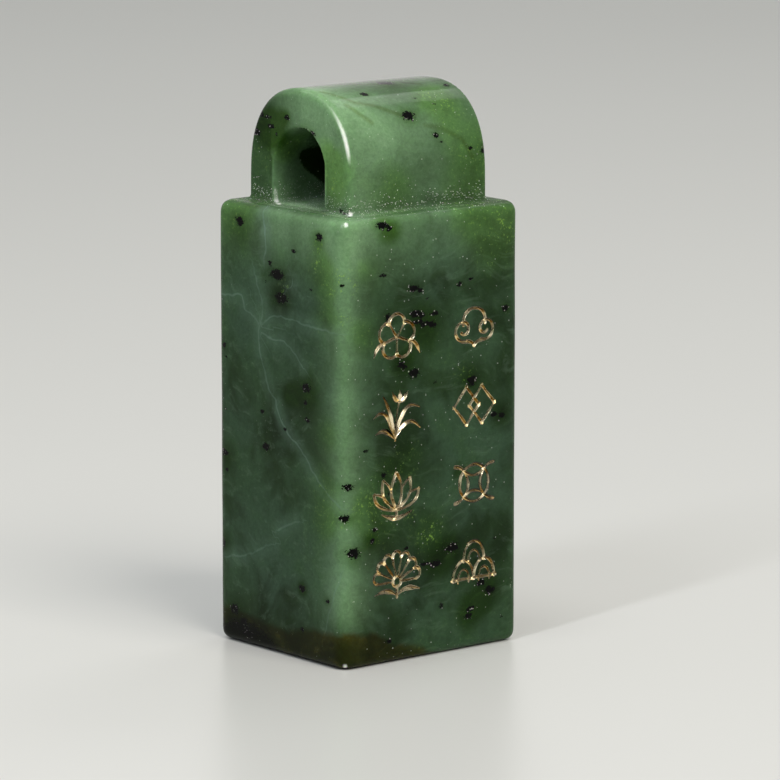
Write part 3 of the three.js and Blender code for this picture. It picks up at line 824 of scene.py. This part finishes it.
def paintGroundAndHighlights(piece, points):
    x, y, z = points.T
    fromKnob = np.maximum(np.abs(x) - knobEnd, np.abs(y) - knobSide)
    low = 1 - ramp(np.abs(z - shoulderZ - 0.3), 0, groundAndHighlights["groundHeight"])
    ground = low * np.clip(1.6 - np.maximum(fromKnob, 0) / groundAndHighlights["groundReach"], 0, 1)
    paintMask(piece, "leftGround", ground + patchy(points, "gritNear"))
    # Painted highlights: a pale line along the tunnel's rims, one along the front edge of the knob's left
    # end, and small glints
    arch = tunnelArch(0, 0, shoulderZ)[:, 1:]
    fromRim = np.hypot(fromLine(points[:, 1:], arch)[0], np.abs(x) - knobEnd + 0.1)
    highlight = groundAndHighlights["rimShare"] * np.clip(1 - fromRim / groundAndHighlights["rimReach"], 0, 1) * (z > shoulderZ + 0.3)
    arch = knobArch(0, groundAndHighlights["edgeInset"], shoulderZ)[:, 1:]
    fromEdge = np.hypot(fromLine(points[:, 1:], arch)[0], x + knobEnd - groundAndHighlights["edgeInset"])
    rubbedAndLit = ramp(z, *groundAndHighlights["edgeFrom"]) * (1 - groundAndHighlights["edgeDimmed"] * ramp(z, *groundAndHighlights["edgeDims"])) * (y < 0)
    highlight = np.maximum(highlight, rubbedAndLit * np.clip(1.1 - fromEdge / groundAndHighlights["edgeReach"], 0, 1))
    for paintedGlint in groundAndHighlights["paintedGlints"]:
        highlight = np.maximum(highlight, np.clip(1.3 - fromLine(points, paintedGlint)[0] / groundAndHighlights["paintedGlintReach"], 0, 1))
    paintMask(piece, "highlightNear", highlight)


def paintPaste(piece, points):
    x, y, z = np.abs(points.T)
    inField = (x < fieldX + 0.2) & (y < fieldY + 0.2) & (z < relief["depth"] + 0.1)
    paintMask(piece, "sealPaste", inField * (0.25 + 0.75 * ramp(z, 0.05, 0.5)))


def paintStone(piece):
    points = readMesh(piece, "co")
    paintInclusions(piece, points, readMesh(piece, "normal"))
    for paint in (paintCracks, paintGlow, paintSkinAndShadow, paintGroundAndHighlights, paintPaste):
        paint(piece, points)


# Gold leaf laid in the cuts over lacquer, rubbed and dulled. The eye gets pale bright gold on the flanks
# that face up and left, a painted highlight, dull brown gold on the others, a painted shade, and brown
# lacquer where the rims have lost their leaf, which also darkens the rims as painted shade.
leaf = {
    # the bright gold is painted highlight on the flanks that face up and left, the dull gold is painted shade
    # on the others, and the lacquer also stands for shade at the rims
    "litGold": "#fff0cc",
    "rubbedAndLit": "#aa8a44",
    "dull": "#241b06",
    "lacquerAndShade": "#1c0f04",
    "litToward": (-0.55, -0.25, 0.8),
    "roughness": (0.22, 0.42),
    "wearMm": 0.4,
    "spotsPerMm": 0.45,
    "shows": {                   # where each starts to show over the one before, and where it is full
        "rubbedAndLit": (0.08, 0.46),
        "litGold": (-0.06, 0.26),
        "lacquerAndShade": (0.14, -0.04),
    },
}


# How deep in its cut each point of a gilding lies, from 0 at the rim to 1 at the bottom, and how far it
# faces up and to the left, toward the light: those flanks get the painted highlight, the others painted shade
def paintGilding(piece):
    into = readMesh(piece, "co")[:, 1] - frontY
    paintMask(piece, "cutDepth", np.clip(into / engraving["depth"], 0, 1))
    paintMask(piece, "litFlank", readMesh(piece, "normal") @ np.array(leaf["litToward"]))


paintStone(stone)
for gilding in gildings.values():
    paintGilding(gilding)
print("masks painted")


def linear(hexColour):
    parts = [int(hexColour[i:i + 2], 16) / 255 for i in (1, 3, 5)]
    return (*[p / 12.92 if p <= 0.04045 else ((p + 0.055) / 1.055) ** 2.4 for p in parts], 1.0)


# Adds a node, sets its properties and its sockets, and gives back one of its outputs
def add(tree, kind, settings, sockets, output=0):
    made = tree.nodes.new("ShaderNode" + kind)
    for name, value in settings.items():
        setattr(made, name, value)
    for name, value in sockets.items():
        if isinstance(value, bpy.types.NodeSocket):
            tree.links.new(value, made.inputs[name])
        else:
            made.inputs[name].default_value = value
    return made.outputs[output] if made.outputs else None


def newMaterial(name):
    material = bpy.data.materials.new(name)
    material.use_nodes = True
    material.node_tree.nodes.clear()
    return material, material.node_tree


# Settings that many nodes share
times, plus, timesPlus = ({"operation": kind} for kind in ("MULTIPLY", "ADD", "MULTIPLY_ADD"))
larger, above = ({"operation": kind} for kind in ("MAXIMUM", "GREATER_THAN"))
scaled = {"operation": "SCALE"}
soft = {"interpolation_type": "SMOOTHSTEP"}
cover = {"data_type": "RGBA"}
filtered = {"data_type": "RGBA", "blend_type": "MULTIPLY"}

# Spinach-green nephrite, ground and polished to a waxy shine. The eye gets cloudy greens that light sinks
# into, yellower and darker ones round black inclusions, whitish healed cracks and a russet skin at the foot.
# It also gets painted light: a paler glow, white highlights and sparkles, and painted shadow deep in the
# tunnel.
nephrite = {
    "colours": {                 # each lies over those before it, and a filter multiplies them
        "deepGreen": "#172912",
        "bodyGreen": "#253c1f",
        "greyGreen": "#374f3b",
        "wispGreen": "#66806a",
        # painted glow of light through the stone, and painted light on the top
        "glowGreen": "#779970",
        "leafFilter": "#edffc8",
        "fleckGreen": "#93bd50",
        "deepFilter": "#9ab46a",
        "healedCrack": "#708b7a",
        "stainFilter": "#c4c092",
        "russetFilter": "#e0a234",
        # the blackish patch at the foot of the left face, and painted shadow deep in the tunnel
        "darkFilter": "#5c6a3c",
        # painted highlight, nearly white
        "paintedHighlight": "#fbfdf8",
        "inclusion": "#020302",
        "groundGreen": "#779970",
        # painted sparkles of broken grains and grinding grit
        "sparklingGrain": "#f6faf0",
        "sealPaste": "#8c2a1c",
    },
    # painted glints of metal in the black inclusions
    "glint": "#d4d4cc",
    "shows": {                   # what a layer's field is where it starts and is full, and its share there
        "bodyGreen": (0.3, 0.56, 1),
        "greyGreen": (0.42, 0.66, 0.95),
        "wispGreen": (0.52, 0.72, 0.2),
        "leafFilter": (0.6, 1.2, 1),
        "deepFilter": (0.6, 1.4, 1),
        "crackLine": (0.2, 0.02, 0.3),          # mm from its middle
        "crackHaze": (2.2, 0, 0.18),
        "stainFilter": (0.6, 0.98, 0.6),
        "russetFilter": (0.72, 1.12, 1),
        "darkFilter": (0.75, 1.2, 1),
        "paintedHighlight": (0.3, 0.95, 0.9),
        "inclusion": (0.42, 0.5, 1),
        "sealPaste": (0.35, 0.6, 1),
    },
    "varies": {                  # plain ramps: from, to, and what each gives at both
        "glowGreen": (0.3, 0.7, 0.8, 1.2),
        "felt": (0.3, 0.7, 0.8, 1.2),
        "healedCrack": (0.38, 0.6, 0.4, 1),
        "russetFilter": (0.38, 0.62, 0.82, 1),
        "fleckGreen": (0.5, 0.62, 0, 1),
        "fleckDot": (0.42, 0.2, 0, 1),
        "fleckZone": (0.8, 1.3, 0, 0.45),
    },
    "noises": {                  # scale per mm, detail, roughness and distortion
        "cloud": (1 / 13, 3, 0.5, 0),
        "mottle": (1 / 4, 5, 0.52, 0.4),
        "felt": (1 / 0.5, 5, 0.75, 0.5),        # real felted fibres are finer; drawn coarse enough to show
        "ragged": (2.2, 5, 0.8, 0),
        "bends": (0.5, 1.5, 0.5, 0),
        "wisps": (1, 4, 0.6, 0),
    },
    "driftPerMm": 0.09,
    "driftMm": (9, 9, 9),
    "wispsPerMm": (0.1, 0.5, 0.9),
    "wispsTurned": (0.3, 0.6, 0.2),
    "fleckMm": 0.5,
    "jitterPerMm": 1.6,
    "jitterMm": (1.4, 1.4, 1.4),
    "grainMm": 0.24,             # broken grains, painted as sparkles, drawn about twice their size
    "gritMm": 0.17,              # marks of the grinding grit, painted as sparkles, partly pale dust
    "sparks": {                  # size within its cell, strength and contrast of what catches light
        "glint": (0.5, 0.3, 1, 1),
        "sparklingGrain": (0.55, 0.35, 0.4, 1),
        "sparklingGrit": (0.6, 0.4, 1, 1.2),
    },
    "glintsFrom": 0.78,          # the higher, the rarer
    "grainsFrom": 0.98,
    "gritMore": 0.32,            # its share of the grains where the stone is left ground
    "groundPale": 0.06,
    "ior": 1.61,
    "specular": 0.05,
    "polish": 0.07,
    "ground": 0.5,
    "groundBump": 0.6,
    "scatterMm": (1.6, 2.4, 1.3),
}
stoneMasks = (
    "paintedGlow", "mistNear", "leafNear", "fleckNear", "deepNear", "crackSide", "crackStrength", "stainNear",
    "russetNear", "darkPatchAndShadowNear", "highlightNear", "inclusionNear", "leftGround", "sealPaste",
)


def nephriteMaterial():
    look = nephrite
    material, tree = newMaterial("polished_nephrite")
    place = add(tree, "TexCoord", {}, {}, "Object")
    mm = add(tree, "VectorMath", scaled, {0: place, "Scale": perMetre})
    mask = {name: add(tree, "Attribute", {"attribute_name": name}, {}, "Fac") for name in stoneMasks}
    ground = mask["leftGround"]

    # Clouds in three sizes, faint wisps where its fibres lie along each other, and raggedness
    wide = add(tree, "TexNoise", {}, {"Vector": mm, "Scale": look["driftPerMm"], "Detail": 2}, 1)
    drift = add(tree, "VectorMath", timesPlus, {0: wide, 1: look["driftMm"], 2: mm})
    combed = {"Vector": drift, "Rotation": look["wispsTurned"], "Scale": look["wispsPerMm"]}
    where = {"cloud": drift, "mottle": drift, "wisps": add(tree, "Mapping", {}, combed)}
    noise = {}
    for name, (scale, detail, roughness, distortion) in look["noises"].items():
        noise[name] = add(tree, "TexNoise", {}, {
            "Vector": where.get(name, mm), "Scale": scale, "Detail": detail, "Roughness": roughness,
            "Distortion": distortion,
        })
    cloud, mottle, ragged = noise["cloud"], noise["mottle"], noise["ragged"]
    angular = {"distance": "MANHATTAN"}
    sparklingGrain = add(tree, "TexVoronoi", angular, {"Vector": mm, "Scale": 1 / look["grainMm"]})
    sparklingGrit = add(tree, "TexVoronoi", angular, {"Vector": mm, "Scale": 1 / look["gritMm"]})

    # Healed cracks bend a little, and black inclusions have ragged rims
    bent = add(tree, "Math", plus, {0: mask["crackSide"], 1: noise["bends"]})
    bent = add(tree, "Math", {"operation": "SUBTRACT"}, {0: bent, 1: 0.5})
    fromCrack = add(tree, "Math", {"operation": "ABSOLUTE"}, {0: bent})
    raggedRim = add(tree, "Math", timesPlus, {0: ragged, 1: 1.3, 2: -0.6})
    inclusion = add(tree, "Math", plus, {0: mask["inclusionNear"], 1: raggedRim})

    # What decides where a layer shows: a first field, and others that are added with their weights
    fields = {
        "bodyGreen": [cloud],
        "greyGreen": [add(tree, "Mix", {}, {0: 0.5, 2: mottle, 3: cloud}), (0.2, mask["mistNear"])],
        "wispGreen": [noise["wisps"]],
        "leafFilter": [cloud, (0.75, mask["leafNear"]), (0.5, mottle), (-0.6, mask["paintedGlow"])],
        "deepFilter": [mask["deepNear"], (0.9, mottle)],
        "crackLine": [fromCrack],
        "crackHaze": [fromCrack],
        "stainFilter": [mask["stainNear"]],
        "russetFilter": [mask["russetNear"], (0.8, mottle)],
        "darkFilter": [mask["darkPatchAndShadowNear"], (0.9, ragged)],
        "paintedHighlight": [mask["highlightNear"]],
        "inclusion": [inclusion, (-0.18, sparklingGrain)],
        "sealPaste": [ragged],
    }
    share = {}
    for name, (field, *others) in fields.items():
        for weight, other in others:
            field = add(tree, "Math", timesPlus, {0: other, 1: weight, 2: field})
        fields[name] = field
        start, full, most = look["shows"][name]
        share[name] = add(tree, "MapRange", soft, {0: field, 1: start, 2: full, 4: most})

    # Bright flecks, in clusters and where the green is yellower
    jitter = add(tree, "TexNoise", {}, {"Vector": mm, "Scale": look["jitterPerMm"], "Detail": 2}, 1)
    strewn = add(tree, "VectorMath", timesPlus, {0: jitter, 1: look["jitterMm"], 2: mm})
    varied = {
        "glowGreen": mottle,
        "felt": noise["felt"],
        "healedCrack": mottle,
        "russetFilter": ragged,
        "fleckGreen": add(tree, "Math", timesPlus, {0: mask["fleckNear"], 1: 0.1, 2: noise["felt"]}),
        "fleckDot": add(tree, "TexVoronoi", {}, {"Vector": strewn, "Scale": 1 / look["fleckMm"]}),
        "fleckZone": fields["leafFilter"],
    }
    for name, field in varied.items():
        low, high, atLow, atHigh = look["varies"][name]
        varied[name] = add(tree, "MapRange", {}, {0: field, 1: low, 2: high, 3: atLow, 4: atHigh})
    fleckZone = add(tree, "Math", larger, {0: varied["fleckZone"], 1: mask["fleckNear"]})

    # Painted glints of metal in the inclusions, broken grains painted as sparkles, and more of them where the
    # stone is left ground, partly as pale grit dust
    sparks = {}
    scarce = add(tree, "Math", timesPlus, {0: ground, 1: -look["gritMore"], 2: 1.0})
    for name, cells, rarity in (("glint", sparklingGrain, look["glintsFrom"]), ("sparklingGrain", sparklingGrain, look["grainsFrom"]),
                                ("sparklingGrit", sparklingGrit, scarce)):
        rim, core, most, contrast = look["sparks"][name]
        pick = add(tree, "SeparateColor", {}, {0: cells.node.outputs["Color"]})
        picked = add(tree, "Math", above, {0: pick, 1: rarity})
        shade = add(tree, "Math", {"operation": "POWER"}, {0: pick.node.outputs["Green"], 1: contrast})
        dot = add(tree, "MapRange", {}, {0: cells, 1: rim, 2: core, 4: most})
        sparks[name] = [dot, picked, shade]

    products = {
        "glowGreen": [mask["paintedGlow"], varied["glowGreen"]],
        "fleckGreen": [varied["fleckDot"], fleckZone, varied["fleckGreen"]],
        "healedCrack": [add(tree, "Math", plus, {0: share["crackLine"], 1: share["crackHaze"]}),
                        mask["crackStrength"], varied["healedCrack"]],
        "russetFilter": [share["russetFilter"], varied["russetFilter"]],
        "groundGreen": [ground, look["groundPale"]],
        "sealPaste": [mask["sealPaste"], share["sealPaste"]],
        **sparks,
    }
    for name, (product, *others) in products.items():
        for other in others:
            product = add(tree, "Math", times, {0: product, 1: other})
        share[name] = product
    share["sparklingGrain"] = add(tree, "Math", larger, {0: share["sparklingGrain"], 1: share["sparklingGrit"]})

    colours = {name: linear(value) for name, value in look["colours"].items()}
    glinting = {0: share["glint"], 6: colours["inclusion"], 7: linear(look["glint"])}
    colours["inclusion"] = add(tree, "Mix", cover, glinting, 2)
    colour = colours.pop("deepGreen")
    for name, tint in colours.items():
        way = filtered if name.endswith("Filter") else cover
        colour = add(tree, "Mix", way, {0: share[name], 6: colour, 7: tint}, 2)
        if name == "glowGreen":             # the felt shades the greens, and not what lies over them
            colour = add(tree, "VectorMath", scaled, {0: colour, "Scale": varied["felt"]})

    matt = add(tree, "Math", larger, {0: ground, 1: mask["sealPaste"]})
    roughness = add(tree, "MapRange", {}, {0: matt, 3: look["polish"], 4: look["ground"]})
    tooth = add(tree, "MapRange", {}, {0: ground, 3: 0.02, 4: look["groundBump"]})
    bump = add(tree, "Bump", {}, {"Strength": tooth, "Distance": 0.00005, "Height": ragged})
    bump = add(tree, "Bump", {}, {"Strength": 0.1, "Distance": 0.00003, "Height": mottle, "Normal": bump})
    shader = add(tree, "BsdfPrincipled", {}, {
        "Base Color": colour,
        "Roughness": roughness,
        "IOR": look["ior"],
        "Specular IOR Level": look["specular"],
        "Subsurface Weight": 1.0,
        "Subsurface Radius": look["scatterMm"],
        "Subsurface Scale": 1 / perMetre,
        "Normal": bump,
    })
    add(tree, "OutputMaterial", {}, {"Surface": shader})
    return material


def giltMaterial():
    material, tree = newMaterial("rubbed_gold_leaf")
    place = add(tree, "TexCoord", {}, {}, "Object")
    mm = add(tree, "VectorMath", scaled, {0: place, "Scale": perMetre})
    spots = add(tree, "TexNoise", {}, {"Vector": mm, "Scale": leaf["spotsPerMm"], "Detail": 2})
    rubs = add(tree, "TexNoise", {}, {
        "Vector": mm, "Scale": 1 / leaf["wearMm"], "Detail": 5, "Roughness": 0.65,
    })
    # Painted light and shade: how far a flank faces up and left decides how bright its gold is
    flank = add(tree, "Attribute", {"attribute_name": "litFlank"}, {}, "Fac")
    depth = add(tree, "Attribute", {"attribute_name": "cutDepth"}, {}, "Fac")
    flank = add(tree, "Math", timesPlus, {0: rubs, 1: 0.6, 2: flank})
    fields = {
        "rubbedAndLit": flank,
        "litGold": add(tree, "Math", timesPlus, {0: spots, 1: -0.8, 2: flank}),
        "lacquerAndShade": add(tree, "Math", timesPlus, {0: rubs, 1: -0.3, 2: depth}),
    }
    colour = linear(leaf["dull"])
    for name, field in fields.items():
        start, full = leaf["shows"][name]
        share = add(tree, "MapRange", soft, {0: field, 1: start, 2: full})
        colour = add(tree, "Mix", cover, {0: share, 6: colour, 7: linear(leaf[name])}, 2)
    metal = add(tree, "MapRange", {}, {0: share, 3: 1.0, 4: 0.35})     # lacquer is no metal
    bright, dull = leaf["roughness"]
    roughness = add(tree, "MapRange", {}, {0: rubs, 1: 0.35, 2: 0.7, 3: bright, 4: dull})
    bump = add(tree, "Bump", {}, {"Strength": 0.4, "Distance": 0.00002, "Height": rubs})
    shader = add(tree, "BsdfPrincipled", {}, {
        "Base Color": colour, "Metallic": metal, "Roughness": roughness, "Normal": bump,
    })
    add(tree, "OutputMaterial", {}, {"Surface": shader})
    return material


def dress(piece, material, nodes):
    piece.data.materials.clear()
    piece.data.materials.append(material)
    writePoints(piece, readMesh(piece, "co") / perMetre)
    piece.data.shade_smooth()
    piece.data.set_sharp_from_angle(angle=math.radians(38))
    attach(piece, "root")
    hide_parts(*nodes)


dress(stone, nephriteMaterial(), ["seal_stone"])
goldLeaf = giltMaterial()
for node, gilding in gildings.items():
    dress(gilding, goldLeaf, [node])
print("materials laid on")


# A pale floor, a dim even fill, and four lamps: a soft key to the right of the camera, a strip on the left,
# one over the knob and one from behind on the right
studio = {
    "floorColour": "#d6d5d1",
    "floorSize": 6.0,
    "floorCells": 12,
    "floorRoughness": (0.28, 0.36),
    "fillColour": "#c9d0d2",
    "fillStrength": 0.45,
    "paleBackground": "#dcdcd8",
    "lampAim": (0, 0, 0.037),
    "lamps": {                   # place, size, watts, colour
        "key": ((-0.08, -0.95, 1.1), (0.75, 0.75), 13.5, "#fffaf2"),
        "strip": ((-0.45, -0.12, 0.5), (0.04, 0.3), 1.2, "#f4f8ff"),
        "top": ((-0.12, -0.03, 0.62), (0.14, 0.14), 0.6, "#ffffff"),
        "behind": ((0.44, 0.12, 0.6), (0.24, 0.24), 0.5, "#ffffff"),
    },
    "cameraPlace": (-0.4101, -0.4999, 0.1486),
    "cameraAim": (0.0011, -0.0032, 0.0337),
    "lens": 230.8,
}


def layFloor():
    half, cells = studio["floorSize"] / 2, studio["floorCells"]
    steps = np.linspace(-half, half, cells + 1)
    points = [(x, y, 0) for y in steps for x in steps]
    starts = [row * (cells + 1) + column for row in range(cells) for column in range(cells)]
    floor = newPiece("floor", points, [(a, a + 1, a + cells + 2, a + cells + 1) for a in starts])
    material, tree = newMaterial("pale_floor")
    place = add(tree, "TexCoord", {}, {}, "Object")
    cloudy = add(tree, "TexNoise", {}, {"Vector": place, "Scale": 3.0, "Detail": 3.0})
    smoother, rougher = studio["floorRoughness"]
    roughness = add(tree, "MapRange", {}, {0: cloudy, 3: smoother, 4: rougher})
    colour = linear(studio["floorColour"])
    shader = add(tree, "BsdfPrincipled", {}, {"Base Color": colour, "Roughness": roughness})
    add(tree, "OutputMaterial", {}, {"Surface": shader})
    floor.data.materials.append(material)


def newObject(name, data, place, aim):
    made = bpy.data.objects.new(name, data)
    bpy.context.collection.objects.link(made)
    made.location = place
    made.rotation_euler = (Vector(aim) - made.location).to_track_quat("-Z", "Y").to_euler()
    return made


def hangLamp(name, place, size, watts, colour):
    lamp = bpy.data.lights.new(name, "AREA")
    lamp.shape = "RECTANGLE"
    lamp.size, lamp.size_y = size
    lamp.energy = watts
    lamp.color = linear(colour)[:3]
    newObject(name, lamp, place, studio["lampAim"])


def setWorld():
    world = bpy.data.worlds.new("studio")
    world.use_nodes = True
    tree = world.node_tree
    tree.nodes.clear()
    seen = add(tree, "LightPath", {}, {}, "Is Camera Ray")
    rays = seen.node.outputs
    for ray in ("Is Glossy Ray", "Is Transmission Ray"):
        seen = add(tree, "Math", larger, {0: seen, 1: rays[ray]})
    fill, pale = linear(studio["fillColour"]), linear(studio["paleBackground"])
    fill = add(tree, "Background", {}, {"Color": fill, "Strength": studio["fillStrength"]})
    pale = add(tree, "Background", {}, {"Color": pale})
    both = add(tree, "MixShader", {}, {0: seen, 1: fill, 2: pale})
    add(tree, "OutputWorld", {}, {"Surface": both})
    bpy.context.scene.world = world


def placeCamera():
    view = bpy.data.cameras.new("camera")
    view.lens = studio["lens"]
    view.sensor_width = 36
    view.clip_start, view.clip_end = 0.01, 50
    bpy.context.scene.camera = newObject("camera", view, studio["cameraPlace"], studio["cameraAim"])


layFloor()
for name, lamp in studio["lamps"].items():
    hangLamp(name, *lamp)
setWorld()
placeCamera()
bpy.context.scene.view_settings.view_transform = "Standard"
print("studio ready")
